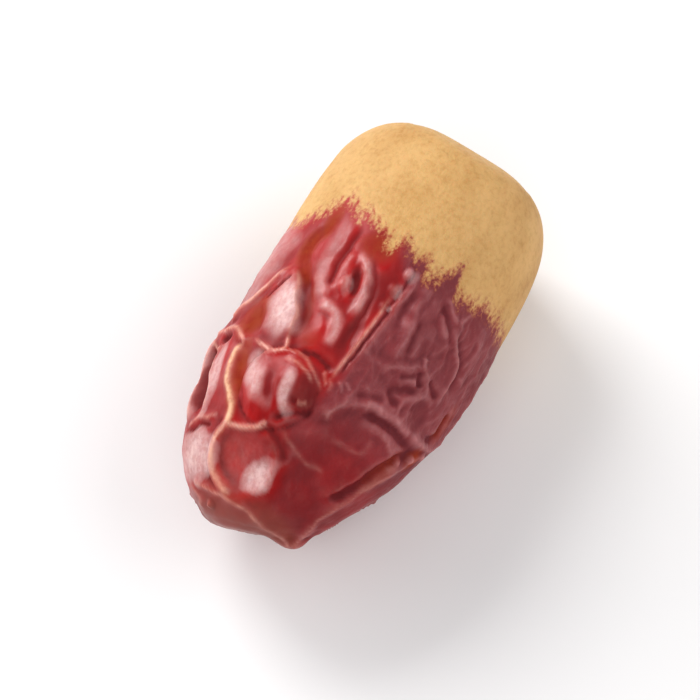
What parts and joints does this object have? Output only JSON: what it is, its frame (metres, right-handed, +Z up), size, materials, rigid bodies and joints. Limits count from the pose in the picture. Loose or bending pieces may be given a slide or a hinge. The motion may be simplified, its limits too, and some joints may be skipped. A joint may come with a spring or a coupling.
{
  "type": "sagai date",
  "caption": "Whole sagai date lying on its side: a plump oval fruit with a smooth tan stem end, a small stem recess, and glossy red skin in deep wrinkles down to a blunt tip.",
  "frame": {"origin": "on the surface that the date lies on, under the middle of its box", "axes": "+Z up, +X along the fruit's axis from the tip to the stem end, +Y across it"},
  "size_m": [0.0388, 0.0218, 0.0212],
  "materials": {
    "date_skin": "glossy wrinkled red skin, dry and matte tan at the stem end"
  },
  "bodies": {
    "root": {"date": "date_skin"}
  },
  "joints": []
}
